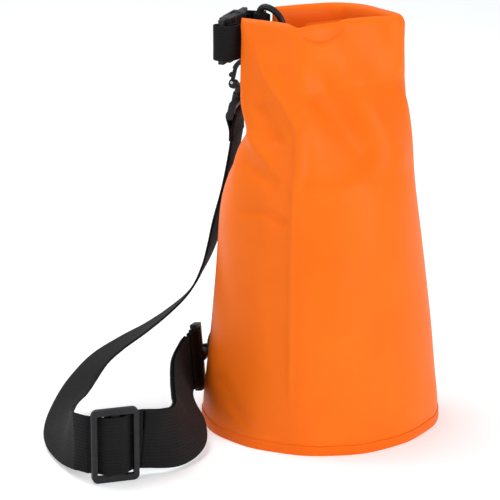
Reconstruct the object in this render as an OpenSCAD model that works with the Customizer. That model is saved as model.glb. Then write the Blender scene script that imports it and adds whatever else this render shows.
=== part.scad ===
// Roll-top dry bag with a detachable shoulder strap, standing closed.
// Origin: centre of the base on the floor. +Z up. The closed ends of the rolled mouth,
// with their buckle, are on the -X side; the shoulder strap lies on that side too.

/* [Bag] */
// Height of the bag as it is rolled
bag_h = 353; // [350:1:356]
// Radius of the base
base_r = 102; // [101:0.5:103]
// Thickness of the coated fabric, with its welds
wall = 1.6; // [1.2:0.2:2]
// Height of the welded lap round the base
hem_h = 10; // [6:1:14]
// Thickness of the rolled mouth
roll_t = 13; // [11:1:14]
// Height of the rolled mouth
roll_h = 36; // [34:1:37]

/* [Webbing] */
// Width of the shoulder strap
strap_w = 50; // [48:1:50]
// Width of the closure webbing
closure_w = 30; // [28:1:30]
// Thickness of the webbing
web_t = 1.8; // [1.4:0.2:2]

/* [Rings and hooks] */
// Diameter of the wire of the two strap rings
ring_wire = 5; // [4:0.5:5]
// Inside width of a ring, along its straight bar
ring_w = 31; // [30.5:0.5:32]
// Depth of a strap ring, from its bar to its bow
ring_depth = 16; // [15:0.5:17]
// Diameter of the wire of the closure ring
closure_wire = 5.5; // [5:0.5:5.5]
// Depth of the closure ring, from its bar to its bow
closure_ring_depth = 22; // [20:1:24]
// Inside radius of a hook's eye
eye_r = 6.5; // [6.5:0.1:6.8]
// Width of the hook across the eye's flat side
hook_t = 7; // [6:0.5:7]

/* [Buckle] */
// Width of the buckle
buckle_w = 38; // [37:1:39]
// Thickness of the buckle
buckle_t = 12; // [11:1:12]

/* [Slider] */
// Length of the slider along the strap
slider_l = 40; // [38:1:42]
// Height of the slider across the strap
slider_w = 63; // [61:1:64]
// Thickness of the slider
slider_t = 5; // [4:0.5:5]

/* [Hidden] */
$fn = 48;

// ---- Vectors and smooth curves ----
function unit(v) = v / norm(v);
function lerp(a, b, t) = a + (b - a) * t;
// Point of the smooth curve between b and c, which passes through its points
function spline(a, b, c, d, t) =
    0.5 * (2 * b + (c - a) * t + (2 * a - 5 * b + 4 * c - d) * t * t
        + (3 * b - a - 3 * c + d) * t * t * t);
// Smooth open curve through points p, with n steps between neighbours
function open_curve(p, n) = let(m = len(p)) [
    for (i = [0 : m - 2], k = [0 : n - 1])
        spline(i > 0 ? p[i - 1] : 2 * p[0] - p[1], p[i], p[i + 1],
            i < m - 2 ? p[i + 2] : 2 * p[m - 1] - p[m - 2], k / n),
    p[m - 1]
];
// Smooth closed curve through points p
function closed_curve(p, n) = let(m = len(p)) [
    for (i = [0 : m - 1], k = [0 : n - 1])
        spline(p[(i + m - 1) % m], p[i], p[(i + 1) % m], p[(i + 2) % m], k / n)
];
// Direction of curve c at its point i
function heading(c, i) = unit(c[min(i + 1, len(c) - 1)] - c[max(i - 1, 0)]);
// The part of w that is square to t
function square_to(w, t) = unit(w - t * (w * t));

// ---- Bag body: sections from the base up ----
// Each section has 16 points, counter-clockwise from the front crease. Points 0 to 8 are the
// outer panel, from the front crease round by +X to the back crease, and points 8 to 16 are the
// inner panel, which folds in behind the carrying loop as it rises.
CREASE_ANGLE = -105;
function oval(a, b) = [
    for (k = [0 : 15]) [a * cos(CREASE_ANGLE + 22.5 * k), b * sin(CREASE_ANGLE + 22.5 * k)]
];
SECTION_200 = [
    [-25, -84], [8, -86], [42, -76], [66, -52], [79, -18], [79, 16], [68, 50], [44, 76],
    [12, 91], [-22, 90], [-50, 74], [-69, 50], [-80, 20], [-84, -12], [-76, -46], [-54, -70]
];
SECTION_245 = [
    [-21, -74], [10, -68], [38, -58], [62, -38], [76, -8], [75, 20], [64, 48], [42, 72],
    [12, 86], [-20, 84], [-48, 66], [-58, 42], [-58, 20], [-62, 0], [-71, -26], [-55, -56]
];
SECTION_280 = [
    [-22, -62], [6, -52], [34, -44], [56, -28], [72, -6], [70, 20], [58, 46], [36, 66],
    [6, 74], [-28, 68], [-52, 50], [-36, 34], [-16, 20], [-22, -2], [-46, -11], [-67, -31]
];
SECTION_298 = [
    [-36, -48], [-10, -46], [16, -40], [44, -24], [69, -2], [64, 26], [46, 52], [14, 66],
    [-14, 62], [-44, 52], [-47, 37], [-6, 33], [20, 14], [2, -6], [-36, -13], [-69, -21]
];
SECTION_TOP = [
    [-60, -24], [-32, -37], [-6, -34], [24, -16], [66, 0], [58, 28], [34, 55], [-4, 58],
    [-34, 49], [-48, 38], [-12, 40], [32, 32], [46, 8], [18, -1], [-18, -16], [-71, -10]
];
SECTIONS = [
    oval(base_r, base_r), oval(base_r - 1, base_r), oval(97, 102), oval(91, 100),
    SECTION_200, SECTION_245, SECTION_280, SECTION_298, SECTION_TOP
];
roll_z = bag_h - roll_h;
SECTION_Z = [0, 20, 60, 120, 200, 245, 280, 298, roll_z - 0.5];
RING_STEPS = 4;
RISE_STEPS = 3;
BODY_RINGS = [
    for (q = open_curve([for (i = [0 : len(SECTIONS) - 1])
        [for (p = SECTIONS[i]) [p[0], p[1], SECTION_Z[i]]]], RISE_STEPS)) closed_curve(q, RING_STEPS)
];
// Section r moved inwards by d in its own plane
function inset(r, d) = let(m = len(r)) [
    for (i = [0 : m - 1]) let(
        a = r[(i + m - 1) % m],
        b = r[(i + 1) % m],
        t = unit([b[0] - a[0], b[1] - a[1]])
    ) [r[i][0] - t[1] * d, r[i][1] + t[0] * d, r[i][2]]
];
// Faces of a closed cup: m points a ring, k outer rings, then k inner rings
function cup_faces(m, k) = concat(
    [for (j = [0 : k - 2], i = [0 : m - 1]) let(a = j * m + i, b = j * m + (i + 1) % m)
        each [[a, a + m, b + m], [a, b + m, b]]],
    [for (j = [k : 2 * k - 2], i = [0 : m - 1]) let(a = j * m + i, b = j * m + (i + 1) % m)
        each [[a, b + m, a + m], [a, b, b + m]]],
    [for (i = [0 : m - 1]) let(j = (i + 1) % m)
        each [[i, j, k * m + j], [i, k * m + j, k * m + i]]],
    lid_faces(m, (k - 1) * m, false),
    lid_faces(m, (2 * k - 1) * m, true)
);
// Lid of a bent section: strips across from the outer panel to the inner panel
function lid_faces(m, s, flip) = [
    for (i = [0 : m / 2 - 1]) let(a = s + i, b = s + i + 1, c = s + m - 1 - i, d = s + (m - i) % m)
        each (i == 0 ? [turn([a, c, b], flip)]
            : i == m / 2 - 1 ? [turn([a, d, b], flip)]
            : [turn([a, c, b], flip), turn([a, d, c], flip)])
];
function turn(f, flip) = flip ? [f[2], f[1], f[0]] : f;

// ---- Rolled mouth: its middle line, from the front end round by +X to the back end ----
MOUTH = [
    [-68, -6], [-46, -18], [-22, -30], [-2, -24], [20, -10], [42, -1], [60, 2], [62, 12], [50, 28],
    [34, 47], [12, 54], [-10, 49], [-28, 42], [-42, 36]
];
MOUTH_LINE = [for (p = open_curve(MOUTH, 4)) [p[0], p[1], bag_h - roll_h / 2]];
UP = [0, 0, 1];

// ---- Flat bands swept along a route ----
// A band of width w and thickness t. Each station is [point, direction across the band].
function band_section(w, t) = [
    [-w / 2, -t / 4], [-w / 2 + t / 4, -t / 2], [w / 2 - t / 4, -t / 2], [w / 2, -t / 4],
    [w / 2, t / 4], [w / 2 - t / 4, t / 2], [-w / 2 + t / 4, t / 2], [-w / 2, t / 4]
];
function oval_section(w, t) = [
    for (a = [15 : 30 : 345])
        [sign(cos(a)) * pow(abs(cos(a)), 0.6) * w / 2, sign(sin(a)) * pow(abs(sin(a)), 0.6) * t / 2]
];
function swept_points(line, across, section, off) = [
    for (i = [0 : len(line) - 1]) let(
        t = heading(line, i),
        w = square_to(across[i], t),
        n = cross(t, w)
    ) for (s = section) line[i] + w * s[0] + n * (s[1] + off)
];
function swept_faces(rings, m) = concat(
    [[for (i = [m - 1 : -1 : 0]) i]],
    [for (j = [0 : rings - 2], i = [0 : m - 1]) let(a = j * m + i, b = j * m + (i + 1) % m)
        each [[a, b, b + m], [a, b + m, a + m]]],
    [[for (i = [0 : m - 1]) (rings - 1) * m + i]]
);
module swept(line, across, section, off = 0) {
    polyhedron(
        points = swept_points(line, across, section, off),
        faces = [for (f = swept_faces(len(line), len(section))) [for (i = [len(f) - 1 : -1 : 0]) f[i]]],
        convexity = 6
    );
}
module upright_band(route, w) {
    line = open_curve(route, 3);
    swept(line, [for (p = line) UP], band_section(w, web_t));
}

// ---- Shoulder strap: points of its middle line and the direction across it ----
// From the upper hook down to the floor and along it to the slider
STRAP_UPPER = [
    [-72, 39.4, 243], [-75.5, 38.5, 222], [-80.5, 37, 198], [-87, 34, 172], [-93.5, 28, 148],
    [-102, 20, 127], [-113, 11, 109], [-131, 4, 93], [-152, 0, 78], [-173, -2, 65],
    [-191, -8, 53], [-205, -20, 39], [-214, -37, 28], [-218, -58, 23], [-218, -82, 23],
    [-215, -106, 25], [-211, -130, 28], [-204, -150, 31]
];
ACROSS_UPPER = [
    [0.2, 0.98, 0], [0.2, 0.98, 0], [0.2, 0.98, 0], [0.22, 0.97, 0], [0.2, 0.97, 0],
    [0.15, 0.98, 0], [0.05, 0.98, -0.2], [0, 0.98, -0.2], [-0.02, 1, -0.15], [-0.08, 1, -0.1],
    [-0.3, 0.9, -0.15], [-0.5, 0.8, -0.25], [-0.7, 0.5, -0.5], [-0.72, 0.2, -0.66],
    [-0.6, 0, -0.8], [-0.4, -0.1, -0.9], [-0.15, -0.05, -1], [0, 0, -1]
];
// From the slider round the corner and back to the lower hook
STRAP_LOWER = [
    [-148.8, -147.5, 31.7], [-134, -142, 30], [-121, -130, 28], [-113, -112, 28], [-110, -90, 30],
    [-112, -62, 36], [-115.5, -36, 41], [-115, -10, 44], [-112.7, 6.9, 45.5]
];
ACROSS_LOWER = [
    [0, 0, -1], [0.05, 0, -1], [0.15, -0.1, -0.98], [0.35, 0, -0.93], [0.5, 0.05, -0.86],
    [0.5, 0.08, -0.86], [0.36, 0.05, -0.92], [0.16, -0.08, -0.97], [0.06, -0.15, -0.98]
];

// ---- Slider: a frame with a middle bar, standing on its edge on the floor ----
SLIDER_AT = [-171, -160, slider_w / 2 + 0.2];
SLIDER_TURN = 18;
slider_bar = 4.5;
middle_bar = 7;
window_h = 52;
// The strap goes behind the near bars and over the middle bar
WEAVE = [
    [-22, 8], [-16.5, 5], [-11.5, 1], [-8, -2.8], [-4, -4.5], [0, -4.8], [4, -4.5],
    [8, -2.8], [11.5, 1], [16.5, 4.8], [21, 5.2], [25, 5.2]
];
function on_slider(p) = [
    SLIDER_AT[0] + p[0] * cos(SLIDER_TURN) - p[1] * sin(SLIDER_TURN),
    SLIDER_AT[1] + p[0] * sin(SLIDER_TURN) + p[1] * cos(SLIDER_TURN),
    SLIDER_AT[2]
];
module at_slider() {
    translate(SLIDER_AT)
        rotate([0, 0, SLIDER_TURN])
            children();
}

// The second run of the doubled strap lies behind the first, run_gap away, and closes on it
// towards the hook
run_gap = 4.4;
end_gap = 2;
RETURN_START = [[8.5, 4.2], [13, 6.4], [18, 8.6], [24, 9.4]];
RETURN_ACROSS = open_curve(ACROSS_LOWER, 3);
RETURN_LINE = let(c = open_curve(STRAP_LOWER, 3)) [
    for (i = [0 : len(c) - 1]) let(t = heading(c, i))
        c[i] + cross(t, square_to(RETURN_ACROSS[i], t)) * lerp(run_gap, end_gap, max(0, i / (len(c) - 1) * 3 - 2))
];

// ---- Hook assemblies: local X along the webbing bar, local Z along the hook ----
UPPER_AT = [-72.5, 39.6, 262.9];
UPPER_TURN = [12, 0, 78.5];
LOWER_AT = [-107.7, 23.2, 44];
base_bar = 5;
cheek_t = 3.5;
frame_w = strap_w + 1.5 + 2 * cheek_t;
bridge_z = 7.6;
boss_z = 14.5;
pin_r = 2;
fit = 0.06;
eye_z = 28.5;
eye_top_z = 35;
hook_r = eye_r + 4;
ring_z = 38.3;
gate_pivot = [8.5, 22.8];
gate_pin_r = 1.2;
gate_foot_z = 24.6;
nose_z = 35.6;
// The lean of each ring from its hook's axis, away from the gate
UPPER_LEAN = 33;
LOWER_LEAN = 41;

// Stands the lower assembly on its side: its bar upright, its hook along the bag's wall
LOWER_AXIS = unit([0.292, 0.956, -0.1]);
LOWER_BAR = square_to([0.06, -0.2, -0.98], LOWER_AXIS);
LOWER_SIDE = cross(LOWER_AXIS, LOWER_BAR);
module at_upper() {
    translate(UPPER_AT)
        rotate(UPPER_TURN)
            children();
}
module at_lower() {
    multmatrix([
        [LOWER_BAR[0], LOWER_SIDE[0], LOWER_AXIS[0], LOWER_AT[0]],
        [LOWER_BAR[1], LOWER_SIDE[1], LOWER_AXIS[1], LOWER_AT[1]],
        [LOWER_BAR[2], LOWER_SIDE[2], LOWER_AXIS[2], LOWER_AT[2]],
        [0, 0, 0, 1]
    ])
        children();
}
module at_ring_bar(lean) {
    translate([0, 0, ring_z])
        rotate([lean, 0, 0])
            translate([0, 0, ring_depth])
                children();
}
module along_x(r, l) {
    rotate([0, 90, 0])
        cylinder(r = r, h = l, center = true);
}

// ---- Buckle: local X from the socket's tail to the plug's tail, local Z up ----
BUCKLE_AT = [-65, 46, bag_h - 21];
BUCKLE_TURN = -111;
socket_end = 38;
arm_z = 9.5;
arm_x = 38.6;
function on_buckle(p) = [
    BUCKLE_AT[0] + p[0] * cos(BUCKLE_TURN) - p[1] * sin(BUCKLE_TURN),
    BUCKLE_AT[1] + p[0] * sin(BUCKLE_TURN) + p[1] * cos(BUCKLE_TURN),
    BUCKLE_AT[2]
];
module at_buckle() {
    translate(BUCKLE_AT)
        rotate([0, 0, BUCKLE_TURN])
            children();
}
// Webbing from the front end of the roll, round the plug's bar and back on itself
WEB_FRONT = [
    [41.5, 24.5], [40.5, 18], [45, 13.6], [54, 11], [60.5, 4.5], [60, -3.5], [55, -6.5], [51.5, -3.5],
    [51, 2], [48, 7], [43.5, 9.3]
];
// Webbing from the back end of the roll, round the socket's bar
WEB_BACK = [[1.5, 22.5], [-3, 17], [-6, 10], [-6, 3], [-4, -2], [1, -6.5], [6, -4.5], [7.2, 1], [6.5, 6.2]];

// ---- Closure ring: upright bar, bow towards the middle of the loop ----
CLOSURE_RING_AT = [-53, 28.5, bag_h - 16];
CLOSURE_RING_TURN = -24;

// A D-shaped ring. Its straight bar lies along X through the origin, its bow reaches down
// to z = -depth.
module d_ring(w, depth, wire) {
    bar = w + wire;
    corner = 6;
    rise = depth - corner;
    union() {
        along_x(wire / 2, bar - 2 * corner);
        for (side = [-1, 1])
            translate([side * (bar / 2 - corner), 0, -corner])
                rotate([90, 0, 0])
                    rotate(side > 0 ? 0 : 90)
                        rotate_extrude(angle = 90)
                            translate([corner, 0])
                                circle(d = wire, $fn = 24);
        for (side = [-1, 1])
            translate([side * bar / 2, 0, -corner - max(rise - bar / 2, 0) - 0.01])
                cylinder(d = wire, h = max(rise - bar / 2, 0) + 0.02);
        bow_half = bar / 2;
        bow(bow_half, rise, corner, wire);
    }
}
// The bow of a ring: one arc from side to side, reaching rise below the corners
module bow(half, rise, corner, wire) {
    arc_r = (half * half + rise * rise) / (2 * rise);
    sweep = rise >= half ? 90 : asin(half / arc_r);
    translate([0, 0, -corner - rise + arc_r])
        rotate([90, 0, 0])
            rotate(-90 - sweep)
                rotate_extrude(angle = 2 * sweep)
                    translate([arc_r, 0])
                        circle(d = wire, $fn = 24);
    for (side = [-1, 1])
        translate([side * half, 0, -corner])
            sphere(d = wire * 1.02, $fn = 24);
}

// Outline of a webbing loop round a bar: a round end and a tail of the given length
module loop_outline(bar_r, tail) {
    difference() {
        hull() {
            circle(r = bar_r + 0.3 + web_t, $fn = 32);
            translate([-web_t, -tail])
                square([2 * web_t, 1]);
        }
        hull() {
            circle(r = bar_r + 0.3, $fn = 32);
            translate([0, -tail * 0.6])
                circle(r = 0.2, $fn = 32);
        }
    }
}

module side_wall() {
    m = len(BODY_RINGS[0]);
    k = len(BODY_RINGS);
    outer = [for (r = BODY_RINGS) each r];
    inner = [
        for (j = [0 : k - 1]) each [
            for (p = inset(BODY_RINGS[j], wall)) [p[0], p[1], j == k - 1 ? p[2] - wall : p[2]]
        ]
    ];
    color("darkorange")
        polyhedron(
            points = concat(outer, inner),
            faces = [for (f = cup_faces(m, k)) [f[2], f[1], f[0]]],
            convexity = 10
        );
}
module base_disc() {
    color("darkorange")
        cylinder(r = base_r - wall - 0.4, h = wall, $fn = 96);
}
module base_hem() {
    color("orangered")
        rotate_extrude($fn = 96)
            translate([base_r + 0.25, 0])
                square([1.2, hem_h]);
}
module mouth_roll() {
    across = [for (p = MOUTH_LINE) UP];
    color("darkorange")
        difference() {
            swept(MOUTH_LINE, across, oval_section(roll_h, roll_t));
            swept([for (i = [1 : len(MOUTH_LINE) - 2]) MOUTH_LINE[i]], across, band_section(27, 4));
        }
}
module mouth_stiffener() {
    line = [for (i = [2 : len(MOUTH_LINE) - 3]) MOUTH_LINE[i]];
    color("dimgray")
        swept(line, [for (p = line) UP], band_section(25, 2));
}
module closure_webbing_front() {
    color("black")
        upright_band([for (p = WEB_FRONT) on_buckle(p)], closure_w);
}
module closure_webbing_back() {
    color("black")
        upright_band([for (p = WEB_BACK) on_buckle(p)], closure_w);
}
module buckle_socket() {
    inside = buckle_w - 7.6;
    color("dimgray")
        at_buckle()
            difference() {
                union() {
                    translate([12, -buckle_t / 2, -buckle_w / 2])
                        cube([socket_end - 12, buckle_t, buckle_w]);
                    translate([0, -2.5, -buckle_w / 2])
                        cube([13, 5, buckle_w]);
                }
                translate([4.5, -5, -closure_w / 2 - 0.5])
                    cube([5, 10, closure_w + 1]);
                translate([14, -3.8, -inside / 2])
                    cube([socket_end, 7.6, inside]);
                translate([17.5, -3.8, -buckle_w])
                    cube([13, 7.6, 2 * buckle_w]);
            }
}
module buckle_plug() {
    color("dimgray")
        at_buckle()
            difference() {
                union() {
                    translate([arm_x, -buckle_t / 2 + 1, -buckle_w / 2])
                        cube([9.5, buckle_t - 2, buckle_w]);
                    translate([47, -2.5, -buckle_w / 2])
                        cube([10, 5, buckle_w]);
                    translate([18, -2.5, -2])
                        cube([arm_x - 17, 5, 4]);
                }
                translate([49, -6, -closure_w / 2 - 0.5])
                    cube([5, 12, closure_w + 1]);
            }
}
// One springy arm of the plug, on the side given by 1 or -1
module buckle_arm(side) {
    color("dimgray")
        at_buckle()
            rotate([90, 0, 0])
                linear_extrude(height = 6, center = true)
                    scale([1, side])
                        polygon([[38, 7.5], [38, 11.5], [30, 13], [28.5, 18.3], [21, 18.3],
                            [16.5, 12], [16.5, 8.5], [30, 8.2]]);
}
module closure_ring() {
    color("black")
        translate(CLOSURE_RING_AT)
            rotate([0, 0, CLOSURE_RING_TURN])
                rotate([0, -90, 0])
                    d_ring(ring_w, closure_ring_depth, closure_wire);
}
module closure_ring_tab() {
    color("black")
        translate([CLOSURE_RING_AT[0], CLOSURE_RING_AT[1], CLOSURE_RING_AT[2] - 13])
            rotate([0, 0, 155])
                linear_extrude(height = 26)
                    loop_outline(closure_wire / 2, 10);
}
module strap_ring(lean) {
    color("black")
        at_ring_bar(lean)
            d_ring(ring_w, ring_depth, ring_wire);
}
// Webbing loop of a strap ring: its tail points away from the ring
module ring_tab(lean, tail_turn, tail) {
    color("black")
        at_ring_bar(lean)
            rotate([0, 90, 0])
                rotate(tail_turn)
                    linear_extrude(height = 24, center = true)
                        loop_outline(ring_wire / 2, tail);
}
module hook_base() {
    color("dimgray")
        difference() {
            union() {
                along_x(base_bar / 2, frame_w);
                for (side = [-1, 1])
                    translate([side * (frame_w / 2 - cheek_t / 2), 0, 5])
                        cube([cheek_t, 6, 14], center = true);
                translate([0, 0, bridge_z + 2.2])
                    cube([frame_w, 6, 4.4], center = true);
                translate([0, 0, bridge_z])
                    cylinder(r = 6, h = boss_z - bridge_z);
            }
            translate([0, 0, bridge_z - 1])
                cylinder(r = pin_r + fit, h = boss_z);
        }
}
// Swivel pin: its head under the bridge and its shank up into the hook's neck
module hook_pin() {
    color("gray")
        union() {
            translate([0, 0, bridge_z - 2])
                cylinder(r = 3.4, h = 1.7);
            translate([0, 0, bridge_z - 0.6])
                cylinder(r = pin_r, h = boss_z + 3 - bridge_z);
        }
}
// A flat oval across X: r is the radius of its ends
module eye_oval(r, w) {
    union() {
        translate([0, 0, eye_z])
            along_x(r, w);
        translate([0, 0, eye_top_z])
            along_x(r, w);
        translate([0, 0, (eye_z + eye_top_z) / 2])
            cube([w, 2 * r, eye_top_z - eye_z], center = true);
    }
}
module hook() {
    neck_z = boss_z + 0.4;
    color("dimgray")
        difference() {
            union() {
                translate([0, 0, neck_z])
                    cylinder(r = 5.2, h = 6);
                eye_oval(hook_r, hook_t);
                translate([0, gate_pivot[0] - 1.5, gate_pivot[1] - 1])
                    along_x(4, hook_t);
            }
            eye_oval(eye_r, hook_t + 1);
            translate([-hook_t, 3, gate_foot_z])
                cube([2 * hook_t, 20, nose_z - gate_foot_z]);
            translate([0, gate_pivot[0], gate_pivot[1]])
                along_x(4.3, 4.4);
            translate([0, gate_pivot[0], gate_pivot[1]])
                along_x(gate_pin_r, 2 * hook_t);
            translate([0, 0, neck_z - 1])
                cylinder(r = pin_r, h = 4);
        }
}
// Sprung gate: a bar from its pivot up to the nose of the hook, with a thumb knob outside
module gate() {
    color("gray")
        difference() {
            rotate([90, 0, 90])
                linear_extrude(height = 4, center = true)
                    union() {
                        translate(gate_pivot)
                            circle(r = 2.6, $fn = 32);
                        translate([eye_r + 0.4, gate_pivot[1]])
                            square([3.2, nose_z - 0.4 - gate_pivot[1]]);
                        translate([eye_r + 4.2, gate_pivot[1] + 6])
                            circle(r = 2, $fn = 32);
                    }
            translate([0, gate_pivot[0], gate_pivot[1]])
                along_x(gate_pin_r + fit, 10);
        }
}
module gate_pin() {
    color("silver")
        translate([0, gate_pivot[0], gate_pivot[1]])
            along_x(gate_pin_r, hook_t);
}
module upper_patch() {
    color("orangered")
        translate([-50.5, 38, 304])
            rotate([0, 0, 78.5])
                rotate([90, 0, 0])
                    linear_extrude(height = 1)
                        square([22, 20], center = true);
}
module lower_patch() {
    color("orangered")
        rotate([0, 0, 112])
            rotate_extrude(angle = 28, $fn = 96)
                polygon([[102, 20], [103, 20], [102.4, 58], [101.4, 58]]);
}
module strap_top_loop() {
    color("black")
        translate(UPPER_AT)
            rotate([0, 0, UPPER_TURN[2]])
                rotate([90, 0, 90])
                    linear_extrude(height = strap_w, center = true)
                        loop_outline(base_bar / 2, 22);
}
module strap_bottom_loop() {
    color("black")
        at_lower()
            rotate([90, 0, 90])
                linear_extrude(height = strap_w, center = true)
                    loop_outline(base_bar / 2, 16);
}
module strap_upper_run() {
    line = concat(open_curve(STRAP_UPPER, 3), [for (p = open_curve(WEAVE, 2)) on_slider(p)]);
    across = concat(open_curve(ACROSS_UPPER, 3), [for (p = open_curve(WEAVE, 2)) -UP]);
    color("black")
        swept(line, across, band_section(strap_w, web_t));
}
module strap_lower_run() {
    color("black")
        swept(open_curve(STRAP_LOWER, 3), open_curve(ACROSS_LOWER, 3), band_section(strap_w, web_t));
}
module strap_return_run() {
    line = concat([for (p = RETURN_START) on_slider(p)], [
        for (i = [2 : len(RETURN_LINE) - 1]) RETURN_LINE[i]
    ]);
    across = concat([for (p = RETURN_START) -UP], [
        for (i = [2 : len(RETURN_LINE) - 1]) RETURN_ACROSS[i]
    ]);
    color("black")
        swept(line, across, band_section(strap_w, web_t));
}
module slider() {
    color("dimgray")
        at_slider()
            rotate([90, 0, 0])
                linear_extrude(height = slider_t, center = true)
                    difference() {
                        union() {
                            square([slider_l - 10, slider_w], center = true);
                            square([slider_l, slider_w - 10], center = true);
                            for (x = [-1, 1], y = [-1, 1])
                                translate([x * (slider_l / 2 - 5), y * (slider_w / 2 - 5)])
                                    circle(r = 5);
                        }
                        for (x = [-1, 1])
                            translate([x * (middle_bar / 2 + slider_l / 2 - slider_bar) / 2, 0])
                                square([slider_l / 2 - slider_bar - middle_bar / 2, window_h], center = true);
                    }
}
// Sewn end of the strap round the back of the slider's middle bar
module slider_loop() {
    color("black")
        at_slider()
            translate([0, 3.3 + web_t / 2, 0])
                cube([16, web_t, strap_w], center = true);
}

side_wall();
base_disc();
base_hem();
mouth_roll();
mouth_stiffener();
closure_webbing_front();
closure_webbing_back();
buckle_socket();
buckle_plug();
buckle_arm(1);  // buckle_arm_upper
buckle_arm(-1);  // buckle_arm_lower
closure_ring();
closure_ring_tab();
upper_patch();
at_upper() ring_tab(UPPER_LEAN, -60, 8);  // upper_tab
at_upper() strap_ring(UPPER_LEAN);  // upper_ring
at_upper() hook_base();  // upper_hook_base
at_upper() hook();  // upper_hook
at_upper() hook_pin();  // upper_hook_pin
at_upper() gate();  // upper_gate
at_upper() gate_pin();  // upper_gate_pin
lower_patch();
at_lower() ring_tab(LOWER_LEAN, 180, 8);  // lower_tab
at_lower() strap_ring(LOWER_LEAN);  // lower_ring
at_lower() hook_base();  // lower_hook_base
at_lower() hook();  // lower_hook
at_lower() hook_pin();  // lower_hook_pin
at_lower() gate();  // lower_gate
at_lower() gate_pin();  // lower_gate_pin
strap_top_loop();
strap_bottom_loop();
strap_upper_run();
strap_lower_run();
strap_return_run();
slider();
slider_loop();
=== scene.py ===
"""Roll-top dry bag with a detachable shoulder strap: the looks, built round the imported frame."""
import math

import bmesh
import bpy
import numpy as np
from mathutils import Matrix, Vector


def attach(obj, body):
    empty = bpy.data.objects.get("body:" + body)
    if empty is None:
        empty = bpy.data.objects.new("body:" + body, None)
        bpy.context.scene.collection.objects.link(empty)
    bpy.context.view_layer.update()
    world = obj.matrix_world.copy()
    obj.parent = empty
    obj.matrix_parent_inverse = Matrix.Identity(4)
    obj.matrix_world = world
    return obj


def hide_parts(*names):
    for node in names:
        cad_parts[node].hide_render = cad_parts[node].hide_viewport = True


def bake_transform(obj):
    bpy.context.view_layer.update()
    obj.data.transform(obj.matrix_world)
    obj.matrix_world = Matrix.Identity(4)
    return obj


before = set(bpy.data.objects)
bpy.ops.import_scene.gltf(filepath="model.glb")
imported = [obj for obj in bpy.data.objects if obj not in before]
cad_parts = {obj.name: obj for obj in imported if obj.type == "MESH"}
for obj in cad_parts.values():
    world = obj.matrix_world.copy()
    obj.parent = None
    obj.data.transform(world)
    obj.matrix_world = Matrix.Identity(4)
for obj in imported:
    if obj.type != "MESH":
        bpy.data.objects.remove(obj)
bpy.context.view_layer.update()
MM = 0.001
scene = bpy.context.scene
scene.view_settings.view_transform = "Standard"
scene.view_settings.look = "None"
UP = np.array([0.0, 0.0, 1.0])


# ---------- curves, the same as in the CAD source, in millimetres ----------
def unit(v):
    return v / max(float(np.linalg.norm(v)), 1e-9)


def spline(a, b, c, d, t):
    return 0.5 * (2 * b + (c - a) * t + (2 * a - 5 * b + 4 * c - d) * t * t
                  + (3 * b - a - 3 * c + d) * t * t * t)


def open_curve(points, n):
    p = [np.asarray(q, float) for q in points]
    steps = n if hasattr(n, "__len__") else [n] * (len(p) - 1)
    out = []
    for i in range(len(p) - 1):
        a = p[i - 1] if i > 0 else 2 * p[0] - p[1]
        d = p[i + 2] if i < len(p) - 2 else 2 * p[-1] - p[-2]
        out += [spline(a, p[i], p[i + 1], d, k / steps[i]) for k in range(steps[i])]
    return np.array(out + [p[-1]])


def closed_curve(points, n):
    p = [np.asarray(q, float) for q in points]
    m = len(p)
    return np.array([spline(p[i - 1], p[i], p[(i + 1) % m], p[(i + 2) % m], k / n)
                     for i in range(m) for k in range(n)])


def along(line):
    steps = np.linalg.norm(np.diff(line, axis=0), axis=1)
    return np.concatenate([[0], np.cumsum(steps)])


# ---------- mesh pieces ----------
def new_object(name, verts, faces, material, body="bag", smooth=True):
    mesh = bpy.data.meshes.new(name)
    mesh.from_pydata([tuple(float(x) * MM for x in v) for v in verts], [],
                     [tuple(f) for f in faces])
    mesh.validate()
    mesh.update()
    for polygon in mesh.polygons:
        polygon.use_smooth = smooth
    piece = bpy.data.objects.new(name, mesh)
    scene.collection.objects.link(piece)
    mesh.materials.append(material)
    if body:
        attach(piece, body)
    return piece


def weave_attribute(piece, values):
    layer = piece.data.attributes.new("weave", "FLOAT_VECTOR", "POINT")
    layer.data.foreach_set("vector", np.asarray(values, np.float32).ravel())


def outward(piece):
    bm = bmesh.new()
    bm.from_mesh(piece.data)
    bmesh.ops.recalc_face_normals(bm, faces=bm.faces)
    bm.to_mesh(piece.data)
    bm.free()


def ribbon_frames(line, across):
    """The width direction and the face normal at each point of a band's line."""
    tangents = np.gradient(line, axis=0)
    tangents /= np.linalg.norm(tangents, axis=1)[:, None]
    wide = across - (across * tangents).sum(1)[:, None] * tangents
    wide /= np.linalg.norm(wide, axis=1)[:, None]
    return wide, np.cross(tangents, wide)


def ribbon_section(width, thick):
    """Outline of a woven band: rounded edges and a slightly thicker selvedge."""
    r = thick / 2
    flat = np.linspace(-width / 2 + r, width / 2 - r, 9)
    lift = [1.0, 0.97, 0.92, 0.9, 0.9, 0.9, 0.92, 0.97, 1.0]
    pts = [(x, -r * k) for x, k in zip(flat, lift)]
    pts += [(width / 2 - r + r * math.cos(a), r * math.sin(a)) for a in (-0.9, 0.0, 0.9)]
    pts += [(x, r * k) for x, k in zip(flat[::-1], lift)]
    pts += [(-width / 2 + r - r * math.cos(a), r * math.sin(a)) for a in (0.9, 0.0, -0.9)]
    return np.array(pts)


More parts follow.
